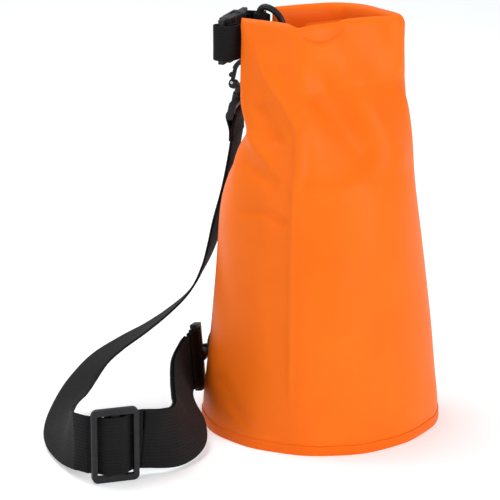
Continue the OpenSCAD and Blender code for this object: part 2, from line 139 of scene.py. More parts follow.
def ribbon(name, line, across, width, thick, material, body="bag"):
    line = np.asarray(line, float)
    across = np.asarray(across, float)
    wide, normal = ribbon_frames(line, across)
    section = ribbon_section(width, thick)
    m = len(section)
    run = along(line)
    verts, weave = [], []
    for i in range(len(line)):
        for x, y in section:
            verts.append(line[i] + wide[i] * x + normal[i] * y)
            weave.append((run[i] * MM, x * MM, 0))
    faces = []
    for j in range(len(line) - 1):
        for i in range(m):
            a, b = j * m + i, j * m + (i + 1) % m
            faces.append((a, b, b + m, a + m))
    faces.append(tuple(range(m - 1, -1, -1)))
    faces.append(tuple((len(line) - 1) * m + i for i in range(m)))
    piece = new_object(name, verts, faces, material, body)
    weave_attribute(piece, weave)
    outward(piece)
    return piece


def cad_part(name):
    return bpy.data.objects[name] if name in bpy.data.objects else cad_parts[name]


WELD_DISTANCE = 1e-6
FLAT_ANGLE, EDGE_ANGLE, SHADE_ANGLE = math.radians(2), math.radians(25), math.radians(45)


def moulded(node, width, body):
    """A CAD part with its flat faces merged and its edges rounded, as moulding leaves them."""
    name = node + "_body"
    mesh = cad_part(node).data.copy()
    mesh.name = name
    piece = bpy.data.objects.new(name, mesh)
    scene.collection.objects.link(piece)
    mesh.materials.clear()
    mesh.materials.append(PLASTIC)
    bm = bmesh.new()
    bm.from_mesh(mesh)
    bmesh.ops.remove_doubles(bm, verts=bm.verts, dist=WELD_DISTANCE)
    bmesh.ops.dissolve_limit(bm, angle_limit=FLAT_ANGLE, verts=bm.verts, edges=bm.edges)
    edges = [e for e in bm.edges if len(e.link_faces) == 2 and e.calc_face_angle(0) > EDGE_ANGLE]
    bmesh.ops.bevel(bm, geom=edges, offset=width * MM, segments=3, profile=0.5,
                    affect="EDGES", clamp_overlap=True)
    for f in bm.faces:
        f.smooth = True
    bm.to_mesh(mesh)
    bm.free()
    mesh.set_sharp_from_angle(angle=SHADE_ANGLE)
    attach(piece, body)
    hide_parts(node)


# ---------- materials ----------
def material(name):
    mat = bpy.data.materials.new(name)
    mat.use_nodes = True
    tree = mat.node_tree
    shader = tree.nodes["Principled BSDF"]
    return mat, tree, shader


def math_node(tree, op, a, b=None, c=None):
    n = tree.nodes.new("ShaderNodeMath")
    n.operation = op
    for slot, value in enumerate((a, b, c)):
        if value is None:
            continue
        if isinstance(value, (int, float)):
            n.inputs[slot].default_value = value
        else:
            tree.links.new(value, n.inputs[slot])
    return n.outputs[0]


def object_noise(tree, scale, detail, rough):
    coords = tree.nodes.new("ShaderNodeTexCoord")
    noise = tree.nodes.new("ShaderNodeTexNoise")
    for key, value in (("Scale", scale), ("Detail", detail), ("Roughness", rough)):
        noise.inputs[key].default_value = value
    tree.links.new(coords.outputs["Object"], noise.inputs["Vector"])
    return noise.outputs["Fac"]


def ramp(tree, source, stops):
    n = tree.nodes.new("ShaderNodeValToRGB")
    while len(n.color_ramp.elements) < len(stops):
        n.color_ramp.elements.new(0.5)
    for element, (place, colour) in zip(n.color_ramp.elements, stops):
        element.position = place
        element.color = (*colour, 1)
    tree.links.new(source, n.inputs["Fac"])
    return n.outputs["Color"]


def bump(tree, shader, height, strength, distance):
    n = tree.nodes.new("ShaderNodeBump")
    n.inputs["Strength"].default_value = strength
    n.inputs["Distance"].default_value = distance
    tree.links.new(height, n.inputs["Height"])
    tree.links.new(n.outputs["Normal"], shader.inputs["Normal"])


TARPAULIN_THREAD = 0.0011       # metres from one thread of the base cloth to the next


def tarpaulin(name, dark, light, rough=(0.42, 0.52)):
    """Smooth coated fabric: a fine weave that reads through the coating, faint mottling."""
    mat, tree, shader = material(name)
    mottled = object_noise(tree, 16, 3, 0.55)
    tree.links.new(ramp(tree, mottled, [(0.3, dark), (0.7, light)]), shader.inputs["Base Color"])
    gloss = object_noise(tree, 40, 2, 0.5)
    low, high = rough
    tree.links.new(math_node(tree, "MULTIPLY_ADD", gloss, high - low, low),
                   shader.inputs["Roughness"])
    coords = tree.nodes.new("ShaderNodeTexCoord")
    parts = tree.nodes.new("ShaderNodeSeparateXYZ")
    tree.links.new(coords.outputs["Object"], parts.inputs[0])
    threads = None
    for axis in ("X", "Y", "Z"):
        wave = math_node(tree, "SINE", math_node(
            tree, "MULTIPLY", parts.outputs[axis], 2 * math.pi / TARPAULIN_THREAD))
        threads = wave if threads is None else math_node(tree, "ADD", threads, wave)
    grain = object_noise(tree, 900, 2, 0.6)
    height = math_node(tree, "ADD", math_node(tree, "MULTIPLY", threads, 0.12), grain)
    bump(tree, shader, height, 0.12, 0.0004)
    shader.inputs["Specular IOR Level"].default_value = 0.1
    return mat


def webbing(name, dark, light, rib=0.0016, column=0.0028):
    """Woven black tape: cross ribs broken into staggered columns, with a little fuzz."""
    mat, tree, shader = material(name)
    attribute = tree.nodes.new("ShaderNodeAttribute")
    attribute.attribute_name = "weave"
    parts = tree.nodes.new("ShaderNodeSeparateXYZ")
    tree.links.new(attribute.outputs["Vector"], parts.inputs[0])
    u, v = parts.outputs["X"], parts.outputs["Y"]
    col = math_node(tree, "MULTIPLY", v, 1 / column)
    stagger = math_node(tree, "MULTIPLY", math_node(tree, "FLOOR", col), math.pi)
    ribs = math_node(tree, "SINE", math_node(
        tree, "ADD", math_node(tree, "MULTIPLY", u, 2 * math.pi / rib), stagger))
    columns = math_node(tree, "ABSOLUTE", math_node(
        tree, "SINE", math_node(tree, "MULTIPLY", col, math.pi)))
    height = math_node(tree, "MULTIPLY", math_node(tree, "ADD", ribs, 1.4), columns)
    fuzz = object_noise(tree, 1400, 2, 0.6)
    total = math_node(tree, "ADD", height, fuzz)
    # the rib height also sets the colour: painted shade, darker in the grooves between the ribs,
    # mixed below with a random wear tone
    groove_shade = math_node(tree, "MULTIPLY_ADD", total, 0.22, 0.05)
    worn = object_noise(tree, 22, 3, 0.6)
    groove_shade_and_wear = math_node(tree, "ADD", math_node(tree, "MULTIPLY", groove_shade, 0.8),
                      math_node(tree, "MULTIPLY", worn, 0.35))
    tree.links.new(ramp(tree, groove_shade_and_wear, [(0.15, dark), (0.85, light)]), shader.inputs["Base Color"])
    bump(tree, shader, total, 0.45, 0.0004)
    shader.inputs["Roughness"].default_value = 0.72
    shader.inputs["Specular IOR Level"].default_value = 0.11
    shader.inputs["Sheen Weight"].default_value = 0.024
    shader.inputs["Sheen Roughness"].default_value = 0.5
    return mat


def plastic(name, dark, light, rough=0.42):
    """Moulded nylon: fine spark-eroded grain, faint blotches and an uneven gloss."""
    mat, tree, shader = material(name)
    blotch = object_noise(tree, 120, 2, 0.5)
    tree.links.new(ramp(tree, blotch, [(0.3, dark), (0.75, light)]), shader.inputs["Base Color"])
    grain = object_noise(tree, 2600, 2, 0.5)
    bump(tree, shader, grain, 0.12, 0.0002)
    uneven = math_node(tree, "MULTIPLY_ADD", object_noise(tree, 300, 2, 0.5), 0.12, rough - 0.06)
    tree.links.new(uneven, shader.inputs["Roughness"])
    shader.inputs["Specular IOR Level"].default_value = 0.275
    return mat


def steel(name):
    mat, tree, shader = material(name)
    shader.inputs["Metallic"].default_value = 1.0
    tree.links.new(ramp(tree, object_noise(tree, 500, 3, 0.6),
                        [(0.3, (0.42, 0.42, 0.43)), (0.7, (0.6, 0.6, 0.61))]),
                   shader.inputs["Base Color"])
    shader.inputs["Roughness"].default_value = 0.32
    return mat


ORANGE = tarpaulin("orange_tarpaulin_cloth", (0.83, 0.140, 0.006), (0.87, 0.158, 0.008))
HEM = tarpaulin("orange_hem_cloth", (0.82, 0.128, 0.003), (0.86, 0.142, 0.005))
PATCH = tarpaulin("orange_patch_cloth", (0.82, 0.125, 0.004), (0.87, 0.14, 0.006), (0.45, 0.55))
STRAP = webbing("black_strap_webbing", (0.004, 0.0036, 0.004), (0.013, 0.012, 0.0125))
CLOSURE = webbing("black_closure_webbing", (0.004, 0.0036, 0.004), (0.013, 0.012, 0.0125),
                  0.0013, 0.0022)
PLASTIC = plastic("black_moulded_plastic", (0.007, 0.007, 0.008), (0.012, 0.012, 0.014))
RING = plastic("black_ring_plastic", (0.008, 0.008, 0.009), (0.014, 0.014, 0.016), 0.36)
STIFF = plastic("stiffener_strip_plastic", (0.03, 0.03, 0.03), (0.05, 0.05, 0.05), 0.6)
STEEL = steel("steel_pin_metal")

# ---------- camera ----------
CAMERA_AT = (-0.061, -2.5, 0.910)
LOOKS_DOWN = 16.93              # degrees below level
camera_data = bpy.data.cameras.new("camera")
camera_data.lens = 220.25
camera_data.sensor_width = 36
camera_data.clip_end = 20
camera = bpy.data.objects.new("camera", camera_data)
camera.location = CAMERA_AT
camera.rotation_euler = (math.radians(90 - LOOKS_DOWN), 0, 0)
scene.collection.objects.link(camera)
scene.camera = camera

# ---------- shoulder strap ----------
STRAP_W, WEB_T = 50, 1.8
STRAP_UPPER = [
    [-72, 39.4, 243], [-75.5, 38.5, 222], [-80.5, 37, 198], [-87, 34, 172], [-93.5, 28, 148],
    [-102, 20, 127], [-113, 11, 109], [-131, 4, 93], [-152, 0, 78], [-173, -2, 65],
    [-191, -8, 53], [-205, -20, 39], [-214, -37, 28], [-218, -58, 23], [-218, -82, 23],
    [-215, -106, 25], [-211, -130, 28], [-204, -150, 31]
]
ACROSS_UPPER = [
    [0.2, 0.98, 0], [0.2, 0.98, 0], [0.2, 0.98, 0], [0.22, 0.97, 0], [0.2, 0.97, 0],
    [0.15, 0.98, 0], [0.05, 0.98, -0.2], [0, 0.98, -0.2], [-0.02, 1, -0.15], [-0.08, 1, -0.1],
    [-0.3, 0.9, -0.15], [-0.5, 0.8, -0.25], [-0.7, 0.5, -0.5], [-0.72, 0.2, -0.66],
    [-0.6, 0, -0.8], [-0.4, -0.1, -0.9], [-0.15, -0.05, -1], [0, 0, -1]
]
STRAP_LOWER = [
    [-148.8, -147.5, 31.7], [-134, -142, 30], [-121, -130, 28], [-113, -112, 28], [-110, -90, 30],
    [-112, -62, 36], [-115.5, -36, 41], [-115, -10, 44], [-112.7, 6.9, 45.5]
]
ACROSS_LOWER = [
    [0, 0, -1], [0.05, 0, -1], [0.15, -0.1, -0.98], [0.35, 0, -0.93], [0.5, 0.05, -0.86],
    [0.5, 0.08, -0.86], [0.36, 0.05, -0.92], [0.16, -0.08, -0.97], [0.06, -0.15, -0.98]
]
SLIDER_AT = np.array([-171, -160, 31.7])
SLIDER_TURN = math.radians(18)
WEAVE = [
    [-22, 8], [-16.5, 5], [-11.5, 1], [-8, -2.8], [-4, -4.5], [0, -4.8], [4, -4.5],
    [8, -2.8], [11.5, 1], [16.5, 4.8], [21, 5.2], [25, 5.2]
]
RETURN_START = [[8.5, 4.2], [13, 6.4], [18, 8.6], [24, 9.4]]
RUN_GAP, END_GAP = 4.4, 2.0     # between the two lower runs, and where they meet the hook
RETURN_SKIPS = 6                # points of the lower run that the slider takes up


def on_slider(p, z=0.0):
    c, s = math.cos(SLIDER_TURN), math.sin(SLIDER_TURN)
    return SLIDER_AT + np.array([p[0] * c - p[1] * s, p[0] * s + p[1] * c, z])


weave_line = open_curve([on_slider(p) for p in WEAVE], 4)
upper_line = np.vstack([open_curve(STRAP_UPPER, 8), weave_line])
upper_across = np.vstack([open_curve(ACROSS_UPPER, 8), np.tile(-UP, (len(weave_line), 1))])
lower_line = open_curve(STRAP_LOWER, 9)
lower_across = open_curve(ACROSS_LOWER, 9)
_, lower_normal = ribbon_frames(lower_line, lower_across)
closing = np.clip(np.linspace(0, 3, len(lower_line)) - 2, 0, 1)
gaps = RUN_GAP + (END_GAP - RUN_GAP) * closing
return_line = np.vstack([[on_slider(p) for p in RETURN_START],
                         (lower_line + lower_normal * gaps[:, None])[RETURN_SKIPS:]])
return_across = np.vstack([np.tile(-UP, (len(RETURN_START), 1)), lower_across[RETURN_SKIPS:]])

strap_upper = ribbon("shoulder_strap_upper", upper_line, upper_across,
                     STRAP_W, WEB_T, STRAP, None)
strap_lower = ribbon("shoulder_strap_lower", lower_line, lower_across,
                     STRAP_W, WEB_T, STRAP, None)
strap_return = ribbon("shoulder_strap_return", return_line, return_across,
                      STRAP_W, WEB_T, STRAP, None)
for piece, cad in ((strap_upper, "strap_upper_run"), (strap_lower, "strap_lower_run"),
                   (strap_return, "strap_return_run")):
    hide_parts(cad)
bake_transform(strap_upper)
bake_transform(strap_lower)
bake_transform(strap_return)


# ---------- bag skin ----------
BASE_R, HEM_H = 102, 10
BAG_H, ROLL_H = 353, 36
SECTION_POINTS = 16
FIRST_POINT = math.radians(-105)        # direction of every section's first point


def oval(a, b):
    turns = [FIRST_POINT + 2 * math.pi / SECTION_POINTS * k for k in range(SECTION_POINTS)]
    return [[a * math.cos(turn), b * math.sin(turn)] for turn in turns]


SECTION_200 = [
    [-25, -84], [8, -86], [42, -76], [66, -52], [79, -18], [79, 16], [68, 50], [44, 76],
    [12, 91], [-22, 90], [-50, 74], [-69, 50], [-80, 20], [-84, -12], [-76, -46], [-54, -70]
]
SECTION_245 = [
    [-21, -74], [10, -68], [38, -58], [62, -38], [76, -8], [75, 20], [64, 48], [42, 72],
    [12, 86], [-20, 84], [-48, 66], [-58, 42], [-58, 20], [-62, 0], [-71, -26], [-55, -56]
]
SECTION_280 = [
    [-22, -62], [6, -52], [34, -44], [56, -28], [72, -6], [70, 20], [58, 46], [36, 66],
    [6, 74], [-28, 68], [-52, 50], [-36, 34], [-16, 20], [-22, -2], [-46, -11], [-67, -31]
]
SECTION_298 = [
    [-36, -48], [-10, -46], [16, -40], [44, -24], [69, -2], [64, 26], [46, 52], [14, 66],
    [-14, 62], [-44, 52], [-47, 37], [-6, 33], [20, 14], [2, -6], [-36, -13], [-69, -21]
]
SECTION_TOP = [
    [-60, -24], [-32, -37], [-6, -34], [24, -16], [66, 0], [58, 28], [34, 55], [-4, 58],
    [-34, 49], [-48, 38], [-12, 40], [32, 32], [46, 8], [18, -1], [-18, -16], [-71, -10]
]
SECTIONS = [oval(BASE_R, BASE_R), oval(BASE_R - 1, BASE_R), oval(97, 102), oval(91, 100),
            SECTION_200, SECTION_245, SECTION_280, SECTION_298, SECTION_TOP]
SECTION_Z = [0, 20, 60, 120, 200, 245, 280, 298, BAG_H - ROLL_H - 0.5]
MOUTH = [
    [-68, -6], [-46, -18], [-22, -30], [-2, -24], [20, -10], [42, -1], [60, 2], [62, 12], [50, 28],
    [34, 47], [12, 54], [-10, 49], [-28, 42], [-42, 36]
]
ROUND = 18                      # mesh columns between two section points
RISES = [8, 12, 18, 26, 18, 16, 10, 10]         # mesh rings between two sections
TIP = 15 * ROUND                # the column at the tip of the front fold
BACK = 8 * ROUND                # the column at the crease at the back
OUTER_COLUMNS = np.r_[TIP:SECTION_POINTS * ROUND, 0:BACK + 1]
INNER_COLUMNS = np.arange(TIP, BACK - 1, -1)
RIM_Z = np.concatenate([np.arange(318.0, 348.9, 1.1), [349.8, 350.8, 351.6, 352.3, 352.8, 353.0]])
RIM_ROUNDING = 6.5              # how far from each end of the mouth the roll thins out
SMOOTHING = 9                   # columns that are averaged along the mouth


def gauss(x, width):
    return np.exp(-(x / width) ** 2)


def smooth(a, b, x):
    t = np.clip((x - a) / (b - a), 0, 1)
    return t * t * (3 - 2 * t)


def distance_to_path(x, z, path):
    """Distance of each point (x, z) from a polyline, and the fraction along it."""
    path = np.asarray(path, float)
    best = np.full(x.shape, 1e9)
    place = np.zeros(x.shape)
    total = along(path)
    for i in range(len(path) - 1):
        a, d = path[i], path[i + 1] - path[i]
        l2 = float(d @ d)
        t = np.clip(((x - a[0]) * d[0] + (z - a[1]) * d[1]) / l2, 0, 1)
        dx, dz = x - a[0] - t * d[0], z - a[1] - t * d[1]
        r = np.hypot(dx, dz)
        closer = r < best
        best = np.where(closer, r, best)
        place = np.where(closer, (total[i] + t * math.sqrt(l2)) / total[-1], place)
    return best, place


def build_skin_rings():
    rings = open_curve([[[p[0], p[1], z] for p in section]
                        for section, z in zip(SECTIONS, SECTION_Z)], RISES)
    body = np.array([closed_curve(r, ROUND) for r in rings])
    n = body.shape[1]
    mouth = open_curve(MOUTH, 12)
    run = along(mouth)
    tangents = np.gradient(mouth, axis=0)
    tangents /= np.linalg.norm(tangents, axis=1)[:, None]
    out = np.c_[tangents[:, 1], -tangents[:, 0]]
    # each column of the topmost section belongs to the nearest place along the mouth: the outer
    # columns run from the tip of the front fold round to the back crease, the inner ones back
    top = body[-1][:, :2]
    near = np.array([run[np.argmin(np.linalg.norm(mouth - p, axis=1))] for p in top])
    place = np.zeros(n)
    for order in (OUTER_COLUMNS, INNER_COLUMNS):
        values = near[order]
        values[0] = 0
        values = np.maximum.accumulate(values)
        values *= run[-1] / values[-1]
        pad = SMOOTHING - 1
        longer = np.concatenate([-values[pad:0:-1], values, 2 * run[-1] - values[-2:-2 - pad:-1]])
        even = np.convolve(longer, np.ones(SMOOTHING) / SMOOTHING, "same")[pad:pad + len(values)]
        even = (even - even[0]) * run[-1] / (even[-1] - even[0])
        place[order] = even
    cx = np.interp(place, run, mouth[:, 0])
    cy = np.interp(place, run, mouth[:, 1])
    ox = np.interp(place, run, out[:, 0])
    oy = np.interp(place, run, out[:, 1])
    side = np.full(n, -1.0)
    side[OUTER_COLUMNS] = 1.0
    edge = np.minimum(place, run[-1] - place)
    rounding = np.sqrt(np.clip(1 - (1 - np.clip(edge / RIM_ROUNDING, 0, 1)) ** 2, 0, 1))
    swell = np.interp(RIM_Z, [318, 320, 322.5, 326, 331, 342, 346, 348.8, 350.8, 352.2, 352.8, 353],
                      [5.2, 5.6, 6.1, 6.4, 6.5, 6.4, 6.0, 5.2, 4.1, 2.7, 1.5, 0.4])
    roll = [np.c_[cx + ox * side * h * rounding, cy + oy * side * h * rounding, np.full(n, z)]
            for z, h in zip(RIM_Z, swell)]
    rings = np.vstack([body, np.array(roll)])
    # the outer panel runs smoothly on to the rim, so its side of the roll shows no edge
    low = int(np.argmin(np.abs(rings[:, 0, 2] - 300)))
    high = int(np.argmin(np.abs(rings[:, 0, 2] - 345)))
    col = np.arange(n)
    weight = np.where(col <= BACK, 1 - smooth(0.66 * BACK, 0.84 * BACK, col),
                      smooth(TIP - 14, TIP - 2, col))
    for j in range(low + 1, high):
        share = (rings[j, 0, 2] - rings[low, 0, 2]) / (rings[high, 0, 2] - rings[low, 0, 2])
        target = rings[low, :, :2] * (1 - share) + rings[high, :, :2] * share
        rings[j, :, :2] += (target - rings[j, :, :2]) * weight[:, None]
    return rings


rings = build_skin_rings()
ring_count, columns = rings.shape[:2]


def ring_normals(rings):
    du = np.roll(rings, -1, axis=1) - np.roll(rings, 1, axis=1)
    dv = np.gradient(rings, axis=0)
    normals = np.cross(du, dv)
    length = np.linalg.norm(normals, axis=2, keepdims=True)
    return normals / np.maximum(length, 1e-9)


FACES_ROUND = [(j * columns + i, j * columns + (i + 1) % columns,
                (j + 1) * columns + (i + 1) % columns, (j + 1) * columns + i)
               for j in range(ring_count - 1) for i in range(columns)]


FOLD_TAPER, SIDE_TAPER = 0.18, 0.2      # share of a fold's length over which each end fades


def shape_skin(rings):
    """Folds, dents and creases that the rolled mouth and the loop's pull leave in the skin."""
    normals = ring_normals(rings)
    x, y, z = rings[..., 0], rings[..., 1], rings[..., 2]
    index = np.tile(np.arange(columns), (ring_count, 1))
    front = smooth(0.1, 0.45, -normals[..., 1])
    push = np.zeros(x.shape)

    def fold(path, width, depth, where=front):
        distance, place = distance_to_path(x, z, path)
        ends = smooth(0, FOLD_TAPER, place) * smooth(0, FOLD_TAPER, 1 - place)
        return depth * gauss(distance, width) * ends * where

    # the ridge that runs down from the front end of the roll, and the flat on its left
    push += fold([[-60, 342], [-50, 312], [-33, 291], [-21, 270], [-21, 240], [-25, 205]], 5, 3.0)
    push += fold([[-25, 250], [-27, 180], [-28, 100], [-28, 30]], 2.0, 1.1)
    push += fold([[-34, 236], [-40, 150], [-40, 60]], 11, -1.4)
    push += fold([[-40, 322], [-28, 300], [-12, 284]], 9, -3.0)
    # diagonal hollow under the mouth, with a soft ridge below it
    push += fold([[-6, 330], [2, 300], [20, 272], [44, 236]], 12, -6.0)
    push += fold([[-20, 226], [12, 222], [44, 230]], 7, 2.4)
    push += fold([[24, 322], [34, 290], [58, 250], [66, 225]], 11, 3.0)
    # dents beside the left edge and the soft fold under them
    push += fold([[-56, 292], [-45, 275], [-39, 256]], 7, -4.2)
    push += fold([[-66, 266], [-54, 252], [-40, 238]], 4.5, 2.4)
    push += fold([[-68, 244], [-52, 232], [-36, 226]], 6, -2.0)
    push += fold([[-74, 198], [-52, 204], [-28, 195]], 3.5, -2.4)
    push += fold([[10, 126], [36, 122]], 6, -0.8)
    push += fold([[-90, 56], [-78, 36], [-62, 14]], 7, -1.6)
    push += fold([[-84, 30], [-64, 12]], 4, 0.8)
    push += fold([[58, 66], [74, 40], [84, 16]], 6, -0.7)
    # soft waves round the lower body, and fainter ones round its middle
    angle = np.arctan2(y, x)
    low = smooth(90, 6, z)
    push += 0.8 * low * np.sin(angle * 9 + 0.7) * np.sin(angle * 4 - 0.4)
    mid = smooth(20, 120, z) * smooth(330, 240, z)
    push += 0.55 * mid * np.sin(angle * 5 + z * 0.021) * np.sin(z * 0.034 + angle * 2)

    push -= 3.2 * gauss(angle + 0.55, 0.5) * smooth(34, 4, z)
    push += 1.0 * gauss(angle + 0.02, 0.16) * smooth(40, 10, z)

    # back: drag lines from the roll's back end, and a buckled fold on the right shoulder
    back = smooth(0.1, 0.5, normals[..., 1])
    push += fold([[-46, 300], [-30, 262], [-22, 215]], 6, 1.6, back)
    push += fold([[-20, 312], [4, 280], [26, 232]], 11, -2.6, back)
    push += fold([[30, 316], [40, 280], [60, 235]], 9, 1.4, back)
    push += fold([[-70, 210], [-30, 196], [8, 200]], 4, -1.4, back)
    push += fold([[-26, 190], [-30, 100], [-28, 40]], 10, -0.8, back)
    right = smooth(0.3, 0.7, normals[..., 0])
    for path, width, depth in (([[-10, 316], [2, 285], [18, 250], [22, 215]], 8, -2.2),
                               ([[24, 310], [30, 280], [44, 240]], 7, -1.6)):
        distance, place = distance_to_path(y, z, path)
        push += (depth * gauss(distance, width) * right
                 * smooth(0, SIDE_TAPER, place) * smooth(0, SIDE_TAPER, 1 - place))

    # the welded side seam: a narrow lap down the back
    seam = columns * 10 // SECTION_POINTS
    offset = np.abs(index - seam)
    push += 0.55 * (1 - smooth(4.0, 5.0, offset)) * smooth(4, 12, z) * smooth(318, 300, z)

    rings = rings + normals * push[..., None]

    # the inside of the back run: one upright tuck and a dent beside it
    x, z = rings[..., 0], rings[..., 2]
    outer = (index <= BACK) | (index >= TIP)
    inner = ~outer & (rings[..., 1] > 22)
    tuck = gauss(x - 15, 2.2) * smooth(300, 322, z) * smooth(354, 344, z) * inner
    rings[..., 1] -= 2.2 * tuck
    tuck = gauss(x - 19.5, 2.4) * smooth(300, 322, z) * smooth(354, 344, z) * inner
    rings[..., 1] += 1.8 * tuck
    tuck = gauss(np.hypot(x - 46, (z - 340) * 0.7), 5) * inner
    rings[..., 0] += 1.6 * tuck

    # the front run: the panel makes a forward lip under the roll, and the rim dips beside it
    front_run = outer & (rings[..., 1] < 4) & (z > 325)
    lip = 343.5 - 7.0 * np.clip(1 - ((x + 1) / 18.5) ** 2, 0, 1)
    inside = smooth(-22, -14, x) * smooth(20, 12, x) * front_run
    rings[..., 1] += 3.6 * inside * smooth(-0.4, 1.2, z - lip)
    rings[..., 1] -= 1.6 * inside * gauss(z - lip + 2.2, 3.2) * (z < lip + 0.6)
    dip = gauss(rings[..., 0] + 21, 5.5) * smooth(338, 352, z) * (rings[..., 1] < 10)
    rings[..., 2] -= 3.4 * dip
    return rings


rings = shape_skin(rings)
skin_verts = rings.reshape(-1, 3)
skin_faces = list(FACES_ROUND)
# close the rim: a strip of triangles between its outer and inner edges
last = (ring_count - 1) * columns


def share_of_way(order):
    """How far along the rim each column of one side is, from 0 at the tip to 1 at the back."""
    run = along(rings[-1][order])
    return run / run[-1]


outer_way, inner_way = share_of_way(OUTER_COLUMNS), share_of_way(INNER_COLUMNS)
i = j = 0
while i < len(OUTER_COLUMNS) - 1 or j < len(INNER_COLUMNS) - 1:
    a, b = OUTER_COLUMNS[i], INNER_COLUMNS[j]
    if j == len(INNER_COLUMNS) - 1 or (i < len(OUTER_COLUMNS) - 1
                                       and outer_way[i + 1] <= inner_way[j + 1]):
        i += 1
        face = (a, OUTER_COLUMNS[i], b)
    else:
        j += 1
        face = (a, INNER_COLUMNS[j], b)
    if len(set(face)) == 3:
        skin_faces.append(tuple(int(last + k) for k in face))
# close the base: smaller rings of the lowest outline, each a little higher, and a centre
BASE_RISE = 2.6
BASE_STEPS = ((0.985, 0.6), (0.965, 1.6), (0.90, 2.2), (0.6, BASE_RISE), (0.25, BASE_RISE))
base_loop = [skin_verts[i] for i in range(columns)]
verts = list(skin_verts)
previous = list(range(columns))
for scale, rise in BASE_STEPS:
    start = len(verts)
    verts += [np.array([p[0] * scale, p[1] * scale, rise]) for p in base_loop]
    for i in range(columns):
        j = (i + 1) % columns
        skin_faces.append((previous[j], previous[i], start + i, start + j))
    previous = list(range(start, start + columns))
centre = len(verts)
verts.append(np.array([0, 0, BASE_RISE]))
for i in range(columns):
    skin_faces.append((previous[(i + 1) % columns], previous[i], centre))
bag_skin = new_object("bag_skin", verts, skin_faces, ORANGE)
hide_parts("side_wall", "mouth_roll", "base_disc")

# welded lap round the base, on the skin's own outline
HEM_STEPS = [(0.15, 0.0), (0.15, 0.75), (0.6, 0.95), (HEM_H - 2.6, 0.95), (HEM_H - 1.9, 0.85),
             (HEM_H - 1.5, 0.5), (HEM_H - 1.4, -0.4)]         # height, how proud of the skin


def skin_outline(z):
    heights = rings[:, 0, 2]
    j = int(np.clip(np.searchsorted(heights, z) - 1, 0, len(heights) - 2))
    share = np.clip((z - heights[j]) / (heights[j + 1] - heights[j]), 0, 1)
    return rings[j, :, :2] * (1 - share) + rings[j + 1, :, :2] * share


hem_verts, hem_faces = [], []
for z, proud in HEM_STEPS:
    outline = skin_outline(z)
    tangent = np.roll(outline, -1, axis=0) - np.roll(outline, 1, axis=0)
    tangent /= np.linalg.norm(tangent, axis=1)[:, None]
    for k in range(columns):
        turn = k * 2 * math.pi / columns
        wobble = 0.1 * math.sin(turn * 19) + 0.08 * math.sin(turn * 43 + 1)
        lift = wobble * 2 if z > HEM_H / 2 else 0
        hem_verts.append([outline[k, 0] + tangent[k, 1] * proud,
                          outline[k, 1] - tangent[k, 0] * proud, z + lift])
m = len(HEM_STEPS)
for j in range(m):
    for k in range(columns):
        near, far, after = j * columns, (j + 1) % m * columns, (k + 1) % columns
        hem_faces.append((near + k, near + after, far + after, far + k))
hem = new_object("base_hem_lap", hem_verts, hem_faces, HEM)
outward(hem)
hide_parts("base_hem")

# ---------- hook assemblies ----------
UPPER_AT = np.array([-72.5, 39.6, 262.9])
LOWER_AT = np.array([-107.7, 23.2, 44])
UPPER_HEADING, UPPER_LEAN = math.radians(78.5), math.radians(12)
BAR_R = 2.5                     # radius of the bars and rings that the bands go round
BAR_GAP = 0.3                   # slack of a folded band round its bar


def turn_x(a):
    c, s = math.cos(a), math.sin(a)
    return np.array([[1, 0, 0], [0, c, -s], [0, s, c]])


def turn_z(a):
    c, s = math.cos(a), math.sin(a)
    return np.array([[c, -s, 0], [s, c, 0], [0, 0, 1]])


UPPER_FRAME = turn_z(UPPER_HEADING) @ turn_x(UPPER_LEAN)
lower_axis = unit(np.array([0.292, 0.956, -0.1]))
lower_bar = np.array([0.06, -0.2, -0.98])
lower_bar = unit(lower_bar - lower_axis * (lower_bar @ lower_axis))
LOWER_FRAME = np.c_[lower_bar, np.cross(lower_axis, lower_bar), lower_axis]
RING_Z, RING_DEPTH = 38.3, 16


def ring_frame(at, turn, lean):
    inner = turn @ turn_x(math.radians(lean))
    origin = at + turn @ np.array([0, 0, RING_Z]) + inner @ np.array([0, 0, RING_DEPTH])
    return origin, inner


def fold_path(r, tail):
    """Side view of a band folded round a bar of radius r and sewn flat to itself."""
    half = WEB_T / 2
    rr = r + BAR_GAP + half
    return [[half + 0.05, -tail], [half + 0.1, -tail * 0.55], [rr * 0.92, -rr * 0.75], [rr, 0.4],
            [rr * 0.72, rr * 0.74], [0, rr], [-rr * 0.72, rr * 0.74], [-rr, 0.4],
            [-rr * 0.92, -rr * 0.75], [-half - 0.1, -tail * 0.55], [-half - 0.05, -tail]]


def loop_band(name, at, turn, tail, tail_angle, width, material, node_name):
    """A folded band whose bar lies along the frame's X."""
    a = math.radians(tail_angle)
    line = [at + turn @ np.array([0, p[0] * math.cos(a) - p[1] * math.sin(a),
                                  p[0] * math.sin(a) + p[1] * math.cos(a)])
            for p in open_curve(fold_path(BAR_R, tail), 6)]
    across = [turn @ np.array([1.0, 0, 0])] * len(line)
    piece = ribbon(name, line, across, width, WEB_T, material)
    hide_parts(node_name)


loop_band("strap_top_fold", UPPER_AT, turn_z(UPPER_HEADING), 22, 0, STRAP_W, STRAP,
          "strap_top_loop")
loop_band("strap_bottom_fold", LOWER_AT, LOWER_FRAME, 16, 0, STRAP_W, STRAP,
          "strap_bottom_loop")
for which, at, turn, lean, tail_turn in (("upper", UPPER_AT, UPPER_FRAME, 33, -60),
                                         ("lower", LOWER_AT, LOWER_FRAME, 41, 180)):
    origin, inner = ring_frame(at, turn, lean)
    loop_band(which + "_ring_tab", origin, inner, 8, tail_turn - 90, 24, CLOSURE, which + "_tab")
    moulded(which + "_hook_base", 0.9, "bag")
    moulded(which + "_hook", 0.9, which + "_hook")
    moulded(which + "_gate", 0.5, which + "_gate")

